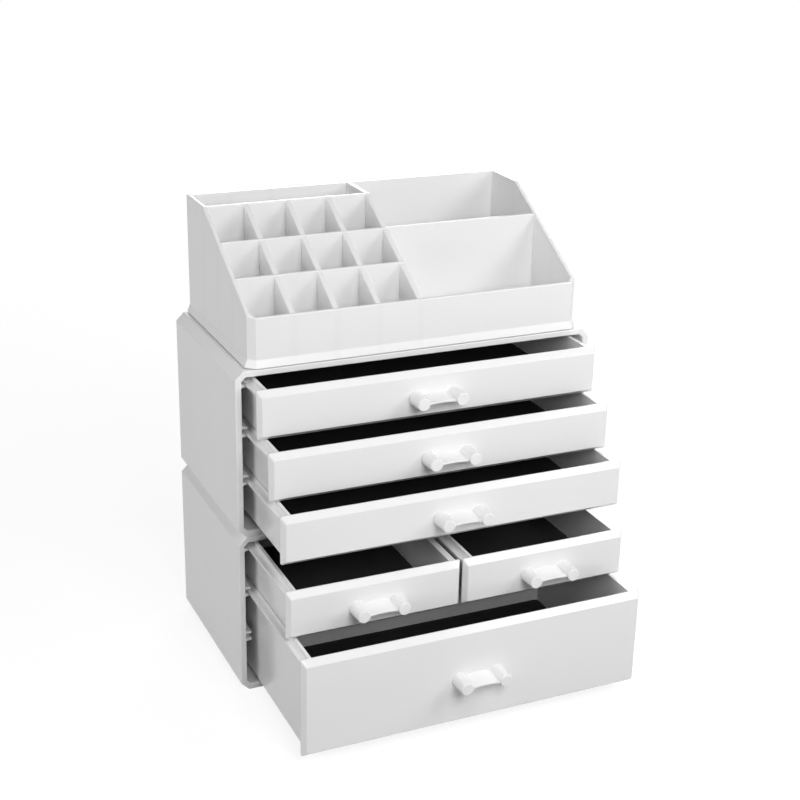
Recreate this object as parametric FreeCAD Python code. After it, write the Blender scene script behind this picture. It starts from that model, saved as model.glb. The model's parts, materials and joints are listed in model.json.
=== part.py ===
"""Stacking makeup organizer: a drawer case on a drawer case, with a tiered compartment tray on top.

Millimetres, +Z up. The front faces -Y, and the origin is the centre of the lower case's flat underside.
Every drawer is drawn out by its own pull, measured from the case's front rim to the drawer's front face.
"""

import FreeCAD
import Part
import math
import os
from collections import namedtuple

V = FreeCAD.Vector

# Cases
case_width = 240.0
case_depth = 123.0
case_height = 108.0
case_wall = 4.0
case_back_wall = 2.5
case_chamfer = 5.2
opening_chamfer = 2.6
rim_round = 0.8

# Ribs on the case walls that carry the drawers and keep them from tipping
rib_reach = 4.8
rib_thickness = 2.8
rib_tip_thickness = 1.6
rib_hollow = 0.4
rib_setback = 4.6
guard_clearance = 1.0

# Rail under the lower case's ceiling, between the two small drawers
rail_plate_width = 9.6
rail_plate_thickness = 2.0
rail_web_thickness = 1.6
rail_lip_width = 8.4
rail_lip_thickness = 2.8

# Drawer fronts
level_count = 3
panel_thickness = 4.4
panel_land = 0.8
panel_side_gap = 2.6
panel_top_gap = 1.6
panel_gap = 0.8
panel_floor_gap = 4.4
large_panel_floor_gap = 2.4
small_panel_gap = 2.0
bevel_side = 2.3
bevel_top = 3.6
bevel_bottom = 2.8
panel_corner = 1.2
panel_round = 0.6

# Drawer tubs
tub_inset = 4.9
tub_wall = 2.0
tub_floor = 2.0
tub_rear_gap = 1.5
flange_edge_inset = 0.6
flange_thickness = 2.0
flange_drop = 4.4
flange_fillet = 1.8

# How far each drawer is drawn out
pull_top = 22.8
pull_middle = 42.5
pull_bottom = 61.8
pull_small = 69.5
pull_large = 94.1

# Handles
post_spacing = 26.0
post_root_radius = 4.8
post_end_radius = 4.0
post_end_round = 0.7
handle_reach = 12.8
handle_drop = 1.5
grip_setback = 1.4
grip_bite = 2.2
grip_root_rise = 3.2
grip_root_arch = 3.4
grip_tip_rise = 0.6
grip_tip_arch = 0.7
grip_thickness = 1.5
grip_edge_round = 0.5

# Screws that hold the handles
screw_radius = 1.3
screw_clearance = 0.3
screw_depth = 7.0
screw_head_radius = 2.8
screw_head_height = 1.9
screw_head_round = 0.7
screw_slot_width = 0.8
screw_slot_length = 3.2
screw_slot_depth = 1.0
post_hole_extra = 1.0

# Drawer liners
liner_thickness = 1.0
liner_gap = 0.5
liner_corner = 2.0

# Tray, which stands on the flat top of the upper case
tray_side_gap = 2.4
tray_rear_gap = 0.3
tray_overhang = 0.5
tray_height = 78.4
tray_front_height = 31.6
tray_flat_depth = 35.0
tray_wall = 2.4
tray_floor = 2.0
tray_corner = 4.2
tray_flare = 2.0
tray_flare_height = 5.6
tray_foot_gap = 0.7
tray_round = 0.7
column_count = 4
column_width = 24.0
column_wall = 3.6
row_wall = 2.8
front_row_depth = 27.0
middle_row_depth = 24.5
rear_row_depth = 26.0

# Shared by all cuts and comparisons
overrun = 2.0
same_place = 1e-5

# Worked out from the sizes above
case_front = -case_depth / 2
case_rear = case_depth / 2
opening_half_width = case_width / 2 - case_wall
panel_half_width = opening_half_width - panel_side_gap
levels_top = case_height - case_wall - panel_top_gap
level_pitch = (levels_top - case_wall - panel_floor_gap + panel_gap) / level_count
panel_height = level_pitch - panel_gap
rib_start = case_front + rib_setback
rib_end = case_rear - case_back_wall
tub_length = case_depth - case_back_wall - tub_rear_gap - panel_thickness
upper_case_bottom = case_height
tray_bottom = upper_case_bottom + case_height
tray_left = -case_width / 2 + case_chamfer + tray_side_gap + tray_flare
tray_right = -tray_left
tray_front = case_front - tray_overhang + tray_flare
tray_rear = case_rear - tray_rear_gap

Drawer = namedtuple("Drawer", "name left right bottom top pull")


def level_top(case_bottom, level):
    """Top of the drawers on one level of a case, counted down from 0."""
    return case_bottom + levels_top - level * level_pitch


def rib_top(case_bottom, level):
    """Flat top of the rib that carries the drawers on one level."""
    return level_top(case_bottom, level) - flange_drop


def block(x, y, z):
    """Box between the two ends given for each axis."""
    return Part.makeBox(x[1] - x[0], y[1] - y[0], z[1] - z[0], V(x[0], y[0], z[0]))


def polygon(points):
    """Closed wire through the points."""
    return Part.makePolygon(points + points[:1])


def outline_wire(start, steps):
    """Closed run of lines, and of arcs given as a pair: a point on the way and the end."""
    edges = []
    here = start
    for step in steps:
        if isinstance(step, tuple):
            there = step[1]
            edges.append(Part.Arc(here, step[0], there).toShape())
        else:
            there = step
            edges.append(Part.LineSegment(here, there).toShape())
        here = there
    edges.append(Part.LineSegment(here, start).toShape())
    return Part.Wire(edges)


def joined(shapes):
    """One solid from touching solids, with no seams left between flush faces."""
    return shapes[0].fuse(shapes[1:]).removeSplitter()


def edges_where(shape, test):
    """The shape's edges whose end points all pass the test."""
    return [edge for edge in shape.Edges if all(test(vertex.Point) for vertex in edge.Vertexes)]


def chamfered_prism(half_width, bottom, top, chamfer, start, end):
    """Bar along Y with a rectangular section and four chamfered corners."""
    flat = half_width - chamfer
    corners = [
        (-flat, bottom),
        (flat, bottom),
        (half_width, bottom + chamfer),
        (half_width, top - chamfer),
        (flat, top),
        (-flat, top),
        (-half_width, top - chamfer),
        (-half_width, bottom + chamfer),
    ]
    points = [V(x, start, z) for x, z in corners]
    return Part.Face(polygon(points)).extrude(V(0, end - start, 0))


def case_rib(side, seat, away):
    """Rib on one side wall (-1 or 1): flat at its seat, hollowed on the face below (-1) or above it (1)."""
    face_x = side * opening_half_width
    root_x = side * (opening_half_width + case_wall / 2)
    tip_x = side * (opening_half_width - rib_reach)
    root_z = seat + away * rib_thickness
    tip_z = seat + away * rib_tip_thickness
    hollow = V((face_x + tip_x) / 2, rib_start, (root_z + tip_z) / 2 - away * rib_hollow)
    section = outline_wire(
        V(root_x, rib_start, seat),
        [
            V(tip_x, rib_start, seat),
            V(tip_x, rib_start, tip_z),
            (hollow, V(face_x, rib_start, root_z)),
            V(root_x, rib_start, root_z),
        ],
    )
    return Part.Face(section).extrude(V(0, rib_end - rib_start, 0))


def case(bottom):
    """Open-fronted case with a rounded rim, carrying ribs on each level and guard ribs below the top one."""
    top = bottom + case_height
    outside = chamfered_prism(case_width / 2, bottom, top, case_chamfer, case_front, case_rear)
    opening = chamfered_prism(
        opening_half_width,
        bottom + case_wall,
        top - case_wall,
        opening_chamfer,
        case_front - overrun,
        case_rear - case_back_wall,
    )
    shell = outside.cut(opening)
    rim = edges_where(shell, lambda point: abs(point.y - case_front) < same_place)
    shell = shell.makeFillet(rim_round, rim)
    ribs = []
    for side in (-1, 1):
        for level in range(level_count):
            carrier = rib_top(bottom, level)
            ribs.append(case_rib(side, carrier, -1))
            if level > 0:
                ribs.append(case_rib(side, carrier + flange_thickness + guard_clearance, 1))
    return joined([shell] + ribs)


def centre_rail():
    """I-section rail on the lower case's ceiling, whose lips carry the small drawers' inner flanges."""
    ceiling = case_height - case_wall
    plate_low = ceiling - rail_plate_thickness
    lip_top = rib_top(0, 0)
    lip_low = lip_top - rail_lip_thickness
    plate = rail_plate_width / 2
    web = rail_web_thickness / 2
    lip = rail_lip_width / 2
    right = [
        (plate, ceiling),
        (plate, plate_low),
        (web, plate_low),
        (web, lip_top),
        (lip, lip_top),
        (lip, lip_low),
    ]
    left = [(-x, z) for x, z in reversed(right)]
    points = [V(x, rib_start, z) for x, z in right + left]
    return Part.Face(polygon(points)).extrude(V(0, rib_end - rib_start, 0))


def drawer_list():
    """Every drawer: its name, the edges of its front and its pull."""
    drawers = []
    for level, pull in enumerate((pull_top, pull_middle, pull_bottom)):
        top = level_top(upper_case_bottom, level)
        name = "upper_drawer_%d" % (level + 1)
        drawers.append(Drawer(name, -panel_half_width, panel_half_width, top - panel_height, top, pull))
    top = level_top(0, 0)
    inner = small_panel_gap / 2
    bottom = top - panel_height
    drawers.append(Drawer("small_drawer_left", -panel_half_width, -inner, bottom, top, pull_small))
    drawers.append(Drawer("small_drawer_right", inner, panel_half_width, bottom, top, pull_small))
    top = level_top(0, 1)
    bottom = case_wall + large_panel_floor_gap
    drawers.append(Drawer("large_drawer", -panel_half_width, panel_half_width, bottom, top, pull_large))
    return drawers


def panel_face(drawer):
    """Place of the drawer's front face along Y."""
    return case_front - drawer.pull


def panel_back(drawer):
    """Place of the back of the drawer's front along Y."""
    return panel_face(drawer) + panel_thickness


def tub_rear(drawer):
    """Place of the tub's rear face along Y."""
    return panel_back(drawer) + tub_length


def post_places(drawer):
    """Centres of the handle's two posts on the drawer's front face."""
    middle = (drawer.left + drawer.right) / 2
    height = (drawer.bottom + drawer.top) / 2 - handle_drop
    return [V(middle + side * post_spacing / 2, panel_face(drawer), height) for side in (-1, 1)]


def rounded_frame(x, z, y):
    """Upright outline of a drawer front at one depth, with rounded corners."""
    left, right = x
    low, high = z
    cut = panel_corner * (1 - math.sqrt(0.5))
    return outline_wire(
        V(left, y, low + panel_corner),
        [
            (V(left + cut, y, low + cut), V(left + panel_corner, y, low)),
            V(right - panel_corner, y, low),
            (V(right - cut, y, low + cut), V(right, y, low + panel_corner)),
            V(right, y, high - panel_corner),
            (V(right - cut, y, high - cut), V(right - panel_corner, y, high)),
            V(left + panel_corner, y, high),
            (V(left + cut, y, high - cut), V(left, y, high - panel_corner)),
        ],
    )


def drawer_panel(drawer):
    """Drawer front with sloping edges all round and a narrow upright land at the back."""
    face = panel_face(drawer)
    back = panel_back(drawer)
    shoulder = back - panel_land

    rear_ring = rounded_frame((drawer.left, drawer.right), (drawer.bottom, drawer.top), shoulder)
    front_ring = rounded_frame(
        (drawer.left + bevel_side, drawer.right - bevel_side),
        (drawer.bottom + bevel_bottom, drawer.top - bevel_top),
        face,
    )
    sloped = Part.makeLoft([rear_ring, front_ring], True, True)
    front_edges = edges_where(sloped, lambda point: abs(point.y - face) < same_place)
    sloped = sloped.makeFillet(panel_round, front_edges)
    land = Part.Face(rear_ring).extrude(V(0, back - shoulder, 0))
    return joined([sloped, land])


def tub_flange(drawer, side):
    """Runner flange along one side of the tub, with a hollow fillet up to the tub wall."""
    if side < 0:
        wall_x = drawer.left + tub_inset
    else:
        wall_x = drawer.right - tub_inset
    start = panel_back(drawer)
    low = drawer.top - flange_drop
    high = low + flange_thickness
    root_x = wall_x - side * tub_wall / 2
    edge_x = wall_x + side * (tub_inset - flange_edge_inset)
    fillet_x = wall_x + side * flange_fillet
    bulge = flange_fillet * (1 - math.sqrt(0.5))
    on_fillet = V(wall_x + side * bulge, start, high + bulge)
    section = outline_wire(
        V(root_x, start, low),
        [
            V(edge_x, start, low),
            V(edge_x, start, high),
            V(fillet_x, start, high),
            (on_fillet, V(wall_x, start, high + flange_fillet)),
            V(root_x, start, high + flange_fillet),
        ],
    )
    return Part.Face(section).extrude(V(0, tub_length, 0))


def drawer_body(drawer):
    """Drawer front and tub in one moulding, with the holes for the handle's screws."""
    back = panel_back(drawer)
    rear = tub_rear(drawer)
    left = drawer.left + tub_inset
    right = drawer.right - tub_inset
    tub = block((left, right), (back, rear), (drawer.bottom, drawer.top))
    hollow = block(
        (left + tub_wall, right - tub_wall),
        (back, rear - tub_wall),
        (drawer.bottom + tub_floor, drawer.top + overrun),
    )
    flanges = [tub_flange(drawer, side) for side in (-1, 1)]
    body = joined([drawer_panel(drawer), tub.cut(hollow)] + flanges)
    hole_length = panel_thickness + 2 * overrun
    for place in post_places(drawer):
        start = place - V(0, overrun, 0)
        body = body.cut(Part.makeCylinder(screw_radius + screw_clearance, hole_length, start, V(0, 1, 0)))
    return body


def handle_grip(drawer):
    """Thin grip between the posts: arched at the drawer front, almost straight at its outer edge."""
    first, last = post_places(drawer)
    middle = (first + last) / 2
    half_span = post_spacing / 2 - post_end_radius + grip_bite
    tip_y = middle.y - handle_reach + grip_setback

    def section(y, rise, arch):
        crest = V(middle.x, y, middle.z + rise)
        side = crest - V(half_span, 0, arch)
        far_side = crest + V(half_span, 0, -arch)
        down = V(0, 0, -grip_thickness)
        return outline_wire(side, [(crest, far_side), far_side + down, (crest + down, side + down)])

    root = section(middle.y, grip_root_rise, grip_root_arch)
    tip = section(tip_y, grip_tip_rise, grip_tip_arch)
    grip = Part.makeLoft([root, tip], True, True)

    def on_tip(edge):
        along = abs(edge.Vertexes[0].X - edge.Vertexes[-1].X) > half_span
        return along and abs(edge.CenterOfMass.y - tip_y) < same_place

    return grip.makeFillet(grip_edge_round, [edge for edge in grip.Edges if on_tip(edge)])


def handle(drawer):
    """Two tapered posts with the grip between them, and a blind hole in each post for its screw."""
    outward = V(0, -1, 0)
    posts = []
    for place in post_places(drawer):
        post = Part.makeCone(post_root_radius, post_end_radius, handle_reach, place, outward)
        end_y = place.y - handle_reach
        end_edges = edges_where(post, lambda point: abs(point.y - end_y) < same_place)
        posts.append(post.makeFillet(post_end_round, end_edges))
    body = joined(posts + [handle_grip(drawer)])
    for place in post_places(drawer):
        start = place - outward * overrun
        length = overrun + screw_depth + post_hole_extra
        body = body.cut(Part.makeCylinder(screw_radius + screw_clearance, length, start, outward))
    return body


def screws(drawer):
    """The two pan-head screws whose heads bear on the back of the drawer front."""
    group = []
    for place in post_places(drawer):
        seat = V(place.x, panel_back(drawer), place.z)
        inward = V(0, 1, 0)
        head = Part.makeCylinder(screw_head_radius, screw_head_height, seat, inward)
        top_y = seat.y + screw_head_height
        head = head.makeFillet(
            screw_head_round,
            edges_where(head, lambda point: abs(point.y - top_y) < same_place),
        )
        shank = Part.makeCylinder(screw_radius, panel_thickness + screw_depth, seat, -inward)
        screw = joined([head, shank])
        slot_y = (top_y - screw_slot_depth, top_y + overrun)
        length = screw_slot_length / 2
        width = screw_slot_width / 2
        for half_x, half_z in ((length, width), (width, length)):
            slot_x = (seat.x - half_x, seat.x + half_x)
            slot_z = (seat.z - half_z, seat.z + half_z)
            screw = screw.cut(block(slot_x, slot_y, slot_z))
        group.append(screw)
    return Part.makeCompound(group)


def liner(drawer):
    """Thin mat with rounded corners on the drawer's floor."""
    inset = tub_inset + tub_wall + liner_gap
    floor = drawer.bottom + tub_floor
    mat = block(
        (drawer.left + inset, drawer.right - inset),
        (panel_back(drawer) + liner_gap, tub_rear(drawer) - tub_wall - liner_gap),
        (floor, floor + liner_thickness),
    )
    corners = [edge for edge in mat.Edges if abs(edge.tangentAt(0).z) > same_place]
    return mat.makeFillet(liner_corner, corners)


def tray_plan(outset, z):
    """The tray's outline from above, chamfered at the front corners and moved out except at the rear."""
    left = tray_left - outset
    right = tray_right + outset
    front = tray_front - outset
    rear = tray_rear + min(outset, 0)
    corner = tray_corner + outset * (2 - math.sqrt(2))
    return polygon(
        [
            V(left, rear, z),
            V(left, front + corner, z),
            V(left + corner, front, z),
            V(right - corner, front, z),
            V(right, front + corner, z),
            V(right, rear, z),
        ]
    )


def tray_slab(left, right):
    """Slice of the tray's side profile: low at the front, sloping up to a flat top at the rear."""
    slope_start = tray_front + tray_wall
    slope_end = tray_rear - tray_flat_depth
    low = tray_bottom + tray_front_height
    high = tray_bottom + tray_height
    profile = [
        (tray_front, tray_bottom),
        (tray_front, low),
        (slope_start, low),
        (slope_end, high),
        (tray_rear, high),
        (tray_rear, tray_bottom),
    ]
    points = [V(left, y, z) for y, z in profile]
    return Part.Face(polygon(points)).extrude(V(right - left, 0, 0))


def tray_top_at(y):
    """Height of the tray's sloping rim at one depth."""
    slope_start = tray_front + tray_wall
    slope_end = tray_rear - tray_flat_depth
    share = min(max((y - slope_start) / (slope_end - slope_start), 0), 1)
    return tray_bottom + tray_front_height + share * (tray_height - tray_front_height)


def high_edges(shape):
    """The edges of a tray wall that lie no lower than the top of the tray's front."""
    lowest = tray_bottom + tray_front_height - same_place
    return edges_where(shape, lambda point: point.z > lowest)


def tray_shell():
    """Outer walls, floor and flared skirt of the tray, with a rounded outer rim and a gap under the skirt."""
    column = Part.Face(tray_plan(0, tray_bottom)).extrude(V(0, 0, tray_height))
    outside = tray_slab(tray_left, tray_right).common(column)

    def on_outline(edge):
        middle = edge.CenterOfMass
        within_sides = tray_left + tray_corner < middle.x < tray_right - tray_corner
        return not (within_sides and tray_front + same_place < middle.y < tray_rear - same_place)

    rim = [edge for edge in high_edges(outside) if on_outline(edge)]
    outside = outside.makeFillet(tray_round, rim)
    skirt_plans = [
        tray_plan(tray_flare, tray_bottom + tray_foot_gap),
        tray_plan(0, tray_bottom + tray_flare_height),
    ]
    skirt = Part.makeLoft(skirt_plans, True, True)
    hollow = Part.Face(tray_plan(-tray_wall, tray_bottom + tray_floor)).extrude(V(0, 0, tray_height))
    return joined([outside, skirt]).cut(hollow)


def tray_rows():
    """Front and rear of each wall between rows, from the front."""
    rows = []
    rear = tray_front + tray_wall
    for depth in (front_row_depth, middle_row_depth, rear_row_depth):
        front = rear + depth
        rear = front + row_wall
        rows.append((front, rear))
    return rows


def tray_columns():
    """Left and right of each wall beside a column of slots, from the left."""
    first = tray_left + tray_wall + column_width
    lefts = [first + column * (column_width + column_wall) for column in range(column_count)]
    return [(left, left + column_wall) for left in lefts]


def row_divider(left, right, front, rear):
    """Wall across the tray with a level, rounded top."""
    top = tray_top_at((front + rear) / 2)
    wall = block((left, right), (front, rear), (tray_bottom, top))
    along = [edge for edge in high_edges(wall) if abs(edge.tangentAt(0).x) > same_place]
    return wall.makeFillet(tray_round, along)


def column_divider(left, right, rear):
    """Wall from front to rear whose rounded top follows the tray's rim."""
    front = tray_front + tray_wall
    span = block((left, right), (front, rear), (tray_bottom, tray_bottom + tray_height + overrun))
    wall = tray_slab(left, right).common(span)
    along = [edge for edge in high_edges(wall) if abs(edge.tangentAt(0).x) < same_place]
    return wall.makeFillet(tray_round, along)


def tray():
    """Tray with columns of slots in three rows, a slot behind them and two compartments beside them."""
    inner_left = tray_left + tray_wall
    inner_right = tray_right - tray_wall
    rows = tray_rows()
    columns = tray_columns()
    slots_right = columns[-1][1]
    slots_rear = rows[-1][1]
    walls = [tray_shell()]
    for (front, rear), right in zip(rows, (slots_right, inner_right, slots_right)):
        walls.append(row_divider(inner_left, right, front, rear))
    for left, right in columns[:-1]:
        walls.append(column_divider(left, right, slots_rear))
    walls.append(column_divider(columns[-1][0], slots_right, tray_rear - tray_wall))
    return joined(walls)


def build():
    """Every node of the organizer by name."""
    nodes = {
        "lower_case": case(0),
        "upper_case": case(upper_case_bottom),
        "centre_rail": centre_rail(),
        "top_tray": tray(),
    }
    for drawer in drawer_list():
        nodes[drawer.name] = drawer_body(drawer)
        nodes[drawer.name + "_handle"] = handle(drawer)
        nodes[drawer.name + "_screws"] = screws(drawer)
        nodes[drawer.name + "_liner"] = liner(drawer)
    return nodes


os.makedirs("parts", exist_ok=True)
for node, shape in build().items():
    shape.exportStep("parts/%s.step" % node)
    facts = (node, len(shape.Solids), shape.isValid(), shape.Volume)
    print("%-28s solids %d  valid %s  volume %.1f" % facts)
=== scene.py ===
"""Looks of the stacking makeup organizer.

White moulded plastic with slight flow marks, black mesh liners in the drawers, and the light and the camera.
"""

import json
import math

import bpy
from mathutils import Matrix, Vector, noise

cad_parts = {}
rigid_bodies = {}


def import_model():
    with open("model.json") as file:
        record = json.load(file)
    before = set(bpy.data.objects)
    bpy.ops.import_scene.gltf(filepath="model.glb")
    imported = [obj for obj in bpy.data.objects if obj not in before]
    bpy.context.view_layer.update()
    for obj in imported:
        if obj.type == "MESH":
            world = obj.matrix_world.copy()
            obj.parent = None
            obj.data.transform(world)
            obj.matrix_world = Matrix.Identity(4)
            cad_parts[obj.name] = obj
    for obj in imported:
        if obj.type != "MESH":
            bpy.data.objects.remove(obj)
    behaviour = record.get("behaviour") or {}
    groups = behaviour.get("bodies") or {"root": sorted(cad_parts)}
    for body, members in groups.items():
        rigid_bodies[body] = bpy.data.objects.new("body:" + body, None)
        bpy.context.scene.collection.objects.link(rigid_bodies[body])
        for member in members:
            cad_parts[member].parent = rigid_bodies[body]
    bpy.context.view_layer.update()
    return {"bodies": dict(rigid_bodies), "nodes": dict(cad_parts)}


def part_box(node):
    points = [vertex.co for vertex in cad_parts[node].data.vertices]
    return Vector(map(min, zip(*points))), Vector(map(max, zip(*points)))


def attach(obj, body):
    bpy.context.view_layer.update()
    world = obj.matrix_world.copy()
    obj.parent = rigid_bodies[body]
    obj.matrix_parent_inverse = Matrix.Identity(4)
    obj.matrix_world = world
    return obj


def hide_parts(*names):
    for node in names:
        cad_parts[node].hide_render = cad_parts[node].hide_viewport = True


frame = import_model()

MM = 0.001

# Camera, fitted to the corners of the object
camera_azimuth = -24.364
camera_elevation = 21.074
camera_roll = 1.142
camera_distance = 1010.2 * MM
camera_aim = Vector((13.95, -1.5, 158.8)) * MM
camera_lens = 68.04
camera_sensor = 36.0

# Light
world_light = 0.04
backdrop_white = 1.0
lamp_aim = Vector((0.0, -50.0, 200.0)) * MM
front_lamp_place = Vector((-60.0, -850.0, 650.0)) * MM
front_lamp_size = 400.0 * MM
front_lamp_power = 5.0
right_lamp_place = Vector((610.0, -510.0, 680.0)) * MM
right_lamp_size = 450.0 * MM
right_lamp_power = 3.7
side_lamp_place = Vector((-890.0, -130.0, 540.0)) * MM
side_lamp_size = 600.0 * MM
side_lamp_power = 3.3
back_lamp_place = Vector((500.0, 900.0, 400.0)) * MM
back_lamp_size = 700.0 * MM
back_lamp_power = 6.0
floor_size = 6.0
floor_bounce = 0.45
floor_shade = 0.25
floor_glow = 0.83
floor_fade_start = 0.35
floor_fade_end = 0.90

# White plastic
plastic_white = (0.86, 0.86, 0.863)
plastic_ior = 1.5
edge_round = 0.45 * MM
edge_samples = 4
flow_scale = 9.0
flow_detail = 3.0
flow_tone = 0.02
gloss_scale = 38.0
gloss_detail = 4.0
gloss_spread = 0.05
skin_scale = 45.0
skin_detail = 1.0
skin_strength = 0.06
skin_depth = 0.1 * MM
case_gloss = 0.21
tray_gloss = 0.21
drawer_gloss = 0.16
handle_gloss = 0.20

# Painted shade: faint darker bands on the tray's skin over its inner walls, the walls' shade seen through
# the thin plastic
shade_band_half_width = 3.2 * MM
shade_band_depth = 0.022
tray_column_shade_bands = (-82.2, -54.6, -27.0, 0.6)
tray_row_shade_bands = (-29.2, -1.9, 26.9)

# Steel screws
steel_grey = (0.62, 0.62, 0.64)
steel_patch_scale = 600.0
steel_patch_detail = 2.0
steel_tone = (0.85, 1.08)
steel_grain_scale = 2400.0
steel_grain_detail = 3.0
steel_grain_strength = 0.15
steel_grain_depth = 0.05 * MM
steel_gloss = (0.22, 0.42)

# Black liners
liner_black = (0.012, 0.012, 0.014)
liner_corner = 2.0 * MM
liner_step = 3.0 * MM
liner_least_cells = 4
liner_wave = 0.15 * MM
liner_wave_length = 38.0 * MM
liner_edge_round = 0.4 * MM
liner_thread_pitch = 1.2 * MM
liner_thread_strength = 0.6
liner_thread_depth = 0.25 * MM
liner_tone = (0.55, 1.25)
liner_patch_scale = 70.0
liner_patch_detail = 3.0
liner_gloss = 0.85

drawer_names = [name for name in frame["bodies"] if "drawer" in name]


class Nodes:
    """Short calls for building the node tree of one material or of the world."""

    def __init__(self, tree):
        self.tree = tree
        tree.nodes.clear()

    def add(self, kind, values=(), **inputs):
        """New node with its settings, and its inputs set to values or linked to sockets."""
        node = self.tree.nodes.new(kind)
        for name, value in dict(values).items():
            setattr(node, name, value)
        for name, value in inputs.items():
            self.put(node.inputs[name.replace("_", " ")], value)
        return node

    def put(self, socket, value):
        if isinstance(value, bpy.types.NodeSocket):
            self.tree.links.new(value, socket)
        else:
            socket.default_value = value

    def math(self, operation, first, second=0.0):
        node = self.add("ShaderNodeMath", {"operation": operation})
        self.put(node.inputs[0], first)
        self.put(node.inputs[1], second)
        return node.outputs[0]

    def place(self):
        return self.add("ShaderNodeTexCoord").outputs["Object"]

    def noise(self, where, scale, detail):
        return self.add("ShaderNodeTexNoise", Vector=where, Scale=scale, Detail=detail).outputs["Fac"]

    def spread(self, value, low, high, start=0.0, end=1.0):
        """The value taken from one range to another."""
        node = self.add(
            "ShaderNodeMapRange",
            Value=value,
            From_Min=start,
            From_Max=end,
            To_Min=low,
            To_Max=high,
        )
        return node.outputs[0]

    def tint(self, colour, factor):
        """The colour made darker or lighter by a factor that varies over the surface."""
        node = self.add("ShaderNodeVectorMath", {"operation": "SCALE"}, Scale=factor)
        node.inputs[0].default_value = colour
        return node.outputs[0]

    def finish(self, shader):
        self.add("ShaderNodeOutputMaterial", Surface=shader)


def new_material(name):
    material = bpy.data.materials.new(name)
    material.use_nodes = True
    return material, Nodes(material.node_tree)


def white_plastic(name, roughness, shade_bands=()):
    """Glossy moulded white: slight flow marks in tone and gloss, an uneven skin and softened edges.

    Each shade band is an axis and the places along it, in millimetres, where painted shade darkens the skin
    over an inner wall.
    """
    material, nodes = new_material(name)
    where = nodes.place()
    tone = nodes.spread(nodes.noise(where, flow_scale, flow_detail), 1 - flow_tone, 1 + flow_tone)
    axes = nodes.add("ShaderNodeSeparateXYZ", Vector=where)
    # Painted shade: the base colour is darkened in bands over the inner walls
    for axis, places in shade_bands:
        for place in places:
            away = nodes.math("ABSOLUTE", nodes.math("SUBTRACT", axes.outputs[axis], place * MM))
            painted_shade = nodes.spread(away, shade_band_depth, 0.0, 0.0, shade_band_half_width)
            tone = nodes.math("SUBTRACT", tone, painted_shade)
    marks = nodes.noise(where, gloss_scale, gloss_detail)
    gloss = nodes.spread(marks, roughness - gloss_spread, roughness + gloss_spread)
    edges = nodes.add("ShaderNodeBevel", {"samples": edge_samples}, Radius=edge_round)
    skin = nodes.add(
        "ShaderNodeBump",
        Strength=skin_strength,
        Distance=skin_depth,
        Height=nodes.noise(where, skin_scale, skin_detail),
        Normal=edges.outputs[0],
    )
    shader = nodes.add(
        "ShaderNodeBsdfPrincipled",
        Base_Color=nodes.tint(plastic_white, tone),
        Roughness=gloss,
        IOR=plastic_ior,
        Normal=skin.outputs[0],
    )
    nodes.finish(shader.outputs[0])
    return material


def screw_steel():
    """Zinc-plated steel with a fine grain."""
    material, nodes = new_material("screw_steel")
    where = nodes.place()
    patches = nodes.noise(where, steel_patch_scale, steel_patch_detail)
    grain = nodes.noise(where, steel_grain_scale, steel_grain_detail)
    skin = nodes.add(
        "ShaderNodeBump",
        Strength=steel_grain_strength,
        Distance=steel_grain_depth,
        Height=grain,
    )
    shader = nodes.add(
        "ShaderNodeBsdfPrincipled",
        Base_Color=nodes.tint(steel_grey, nodes.spread(patches, *steel_tone)),
        Metallic=1.0,
        Roughness=nodes.spread(grain, *steel_gloss),
        Normal=skin.outputs[0],
    )
    nodes.finish(shader.outputs[0])
    return material


def liner_cloth():
    """Fine black mesh of crossed threads."""
    material, nodes = new_material("black_liner")
    where = nodes.place()
    axes = nodes.add("ShaderNodeSeparateXYZ", Vector=where)
    turns = 2 * math.pi / liner_thread_pitch
    across, along = (nodes.math("MULTIPLY", axes.outputs[axis], turns) for axis in "XY")
    weave = nodes.math("MULTIPLY", nodes.math("SINE", across), nodes.math("SINE", along))
    patches = nodes.noise(where, liner_patch_scale, liner_patch_detail)
    tone = nodes.spread(nodes.math("ADD", weave, patches), *liner_tone, start=-1.0, end=2.0)
    skin = nodes.add(
        "ShaderNodeBump",
        Strength=liner_thread_strength,
        Distance=liner_thread_depth,
        Height=weave,
    )
    shader = nodes.add(
        "ShaderNodeBsdfPrincipled",
        Base_Color=nodes.tint(liner_black, tone),
        Roughness=liner_gloss,
        Normal=skin.outputs[0],
    )
    nodes.finish(shader.outputs[0])
    return material


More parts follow.
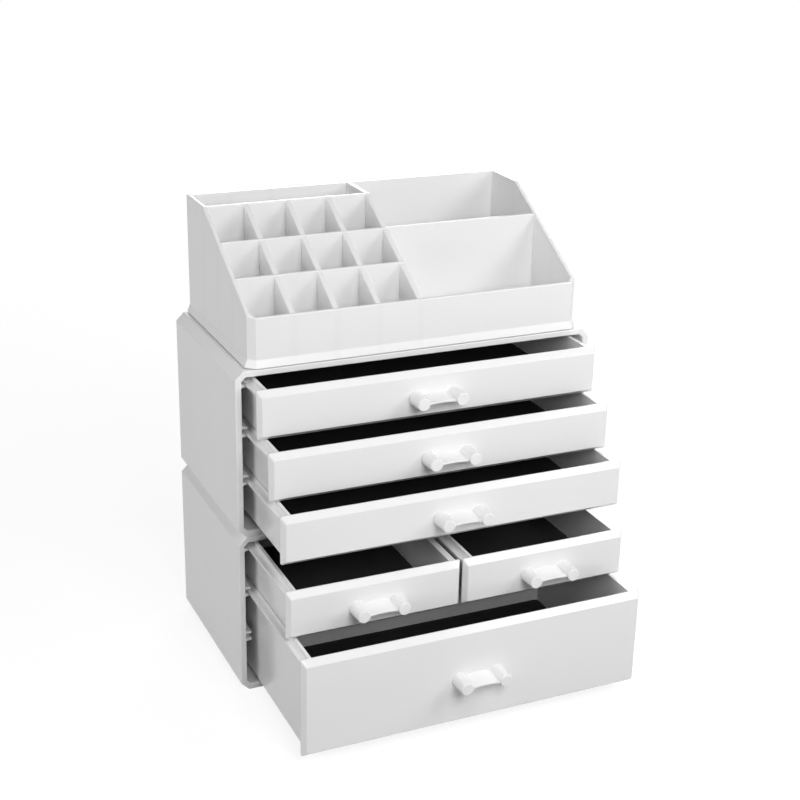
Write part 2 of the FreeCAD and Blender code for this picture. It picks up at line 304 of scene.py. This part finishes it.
def liner(drawer, cloth):
    """Mesh mat on a drawer's floor: rounded corners, a rounded upper edge and a slightly uneven top."""
    low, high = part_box(drawer + "_liner")
    counts = [max(liner_least_cells, round((high[axis] - low[axis]) / liner_step)) for axis in (0, 1)]
    verts = []

    def spot(column, row):
        """Place on the mat of one grid point, with the corner squares drawn in to quarter circles."""
        x = low.x + (high.x - low.x) * column / counts[0]
        y = low.y + (high.y - low.y) * row / counts[1]
        inner_x = min(max(x, low.x + liner_corner), high.x - liner_corner)
        inner_y = min(max(y, low.y + liner_corner), high.y - liner_corner)
        out_x, out_y = x - inner_x, y - inner_y
        length = math.hypot(out_x, out_y)
        if length > 0:
            shrink = max(abs(out_x), abs(out_y)) / length
            x, y = inner_x + out_x * shrink, inner_y + out_y * shrink
        return x, y

    def number(layer, column, row):
        return (layer * (counts[1] + 1) + row) * (counts[0] + 1) + column

    for layer in (0, 1):
        for row in range(counts[1] + 1):
            for column in range(counts[0] + 1):
                x, y = spot(column, row)
                rim = column in (0, counts[0]) or row in (0, counts[1])
                lift = noise.noise(Vector((x, y, low.z)) / liner_wave_length) - 1
                top = high.z - (liner_edge_round if rim else 0) + liner_wave * lift / 2
                verts.append((x, y, top if layer else low.z))
    faces = []
    for row in range(counts[1]):
        for column in range(counts[0]):
            ring = [(column, row), (column + 1, row), (column + 1, row + 1), (column, row + 1)]
            faces.append([number(1, *corner) for corner in ring])
            faces.append([number(0, *corner) for corner in reversed(ring)])
    rim = [(column, 0) for column in range(counts[0])]
    rim += [(counts[0], row) for row in range(counts[1])]
    rim += [(column, counts[1]) for column in range(counts[0], 0, -1)]
    rim += [(0, row) for row in range(counts[1], 0, -1)]
    for here, there in zip(rim, rim[1:] + rim[:1]):
        faces.append([number(0, *here), number(0, *there), number(1, *there), number(1, *here)])
    mesh = bpy.data.meshes.new(drawer + "_liner_mat")
    mesh.from_pydata(verts, [], faces)
    mesh.materials.append(cloth)
    mat = bpy.data.objects.new(drawer + "_liner_mat", mesh)
    bpy.context.scene.collection.objects.link(mat)
    for face in mesh.polygons:
        face.use_smooth = True
    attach(mat, drawer)
    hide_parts(drawer + "_liner")


def dress():
    """Give every CAD node its material by what it is made of, and lay the liners."""
    case = white_plastic("case_plastic", case_gloss)
    # Painted shade bands on the tray over its inner walls
    shade_bands = (("X", tray_column_shade_bands), ("Y", tray_row_shade_bands))
    tray = white_plastic("tray_plastic", tray_gloss, shade_bands)
    front = white_plastic("drawer_plastic", drawer_gloss)
    handle = white_plastic("handle_plastic", handle_gloss)
    steel = screw_steel()
    cloth = liner_cloth()
    for name, node in frame["nodes"].items():
        if name.endswith("_liner"):
            material = cloth
        elif name.endswith("_screws"):
            material = steel
        elif name.endswith("_handle"):
            material = handle
        elif "drawer" in name:
            material = front
        elif name == "top_tray":
            material = tray
        else:
            material = case
        node.data.materials.clear()
        node.data.materials.append(material)
    for drawer in drawer_names:
        liner(drawer, cloth)


def seen_directly(nodes):
    """1 for rays from the camera and for what shows in gloss or through a surface, else 0."""
    rays = nodes.add("ShaderNodeLightPath")
    shown = nodes.math("MAXIMUM", rays.outputs["Is Camera Ray"], rays.outputs["Is Glossy Ray"])
    return nodes.math("MAXIMUM", shown, rays.outputs["Is Transmission Ray"])


def light_world():
    """White backdrop, and an even soft light on the object."""
    world = bpy.data.worlds.new("studio")
    bpy.context.scene.world = world
    world.use_nodes = True
    nodes = Nodes(world.node_tree)
    strength = nodes.spread(seen_directly(nodes), world_light, backdrop_white)
    backdrop = nodes.add("ShaderNodeBackground", Strength=strength)
    backdrop.inputs["Color"].default_value = (1.0, 1.0, 1.0, 1.0)
    nodes.add("ShaderNodeOutputWorld", Surface=backdrop.outputs[0])


def floor():
    """White floor that fades into the backdrop and keeps the object's soft shadow."""
    half = floor_size / 2
    mesh = bpy.data.meshes.new("floor")
    corners = [(-half, -half, 0), (half, -half, 0), (half, half, 0), (-half, half, 0)]
    mesh.from_pydata(corners, [], [range(len(corners))])
    plane = bpy.data.objects.new("floor", mesh)
    bpy.context.scene.collection.objects.link(plane)
    material, nodes = new_material("floor")
    bounce = nodes.add("ShaderNodeBsdfDiffuse", Color=(floor_bounce, floor_bounce, floor_bounce, 1.0))
    reach = nodes.add("ShaderNodeVectorMath", {"operation": "LENGTH"})
    nodes.put(reach.inputs[0], nodes.place())
    away = reach.outputs["Value"]
    shade = nodes.spread(away, floor_shade, 0.0, floor_fade_start, floor_fade_end)
    shaded = nodes.add("ShaderNodeBsdfDiffuse", Color=nodes.tint((1.0, 1.0, 1.0), shade))
    bright = nodes.spread(away, floor_glow, 1.0, floor_fade_start, floor_fade_end)
    glow = nodes.add("ShaderNodeEmission", Color=(1.0, 1.0, 1.0, 1.0), Strength=bright)
    shown = nodes.add("ShaderNodeAddShader")
    nodes.put(shown.inputs[0], shaded.outputs[0])
    nodes.put(shown.inputs[1], glow.outputs[0])
    mix = nodes.add("ShaderNodeMixShader")
    nodes.put(mix.inputs[0], seen_directly(nodes))
    nodes.put(mix.inputs[1], bounce.outputs[0])
    nodes.put(mix.inputs[2], shown.outputs[0])
    nodes.finish(mix.outputs[0])
    mesh.materials.append(material)


def lamp(name, place, size, power):
    """Square soft lamp that faces the upper drawers."""
    data = bpy.data.lights.new(name, "AREA")
    data.shape = "SQUARE"
    data.size = size
    data.energy = power
    made = bpy.data.objects.new(name, data)
    made.location = place
    made.rotation_euler = (lamp_aim - place).to_track_quat("-Z", "Y").to_euler()
    bpy.context.scene.collection.objects.link(made)


def camera():
    """Camera at the photo's place."""
    turn = math.radians(camera_azimuth)
    lift = math.radians(camera_elevation)
    back = Vector((math.sin(turn) * math.cos(lift), -math.cos(turn) * math.cos(lift), math.sin(lift)))
    right = Vector((math.cos(turn), math.sin(turn), 0.0))
    rolled = Matrix.Rotation(math.radians(camera_roll), 3, back)
    right = rolled @ right
    up = back.cross(right)
    data = bpy.data.cameras.new("camera")
    data.lens = camera_lens
    data.sensor_width = camera_sensor
    made = bpy.data.objects.new("camera", data)
    place = camera_aim + camera_distance * back
    axes = Matrix((right, up, back)).transposed().to_4x4()
    made.matrix_world = Matrix.Translation(place) @ axes
    bpy.context.scene.collection.objects.link(made)
    bpy.context.scene.camera = made


dress()
light_world()
floor()
lamp("front_lamp", front_lamp_place, front_lamp_size, front_lamp_power)
lamp("right_lamp", right_lamp_place, right_lamp_size, right_lamp_power)
lamp("side_lamp", side_lamp_place, side_lamp_size, side_lamp_power)
lamp("back_lamp", back_lamp_place, back_lamp_size, back_lamp_power)
camera()
bpy.context.scene.view_settings.view_transform = "Standard"

bpy.context.view_layer.update()
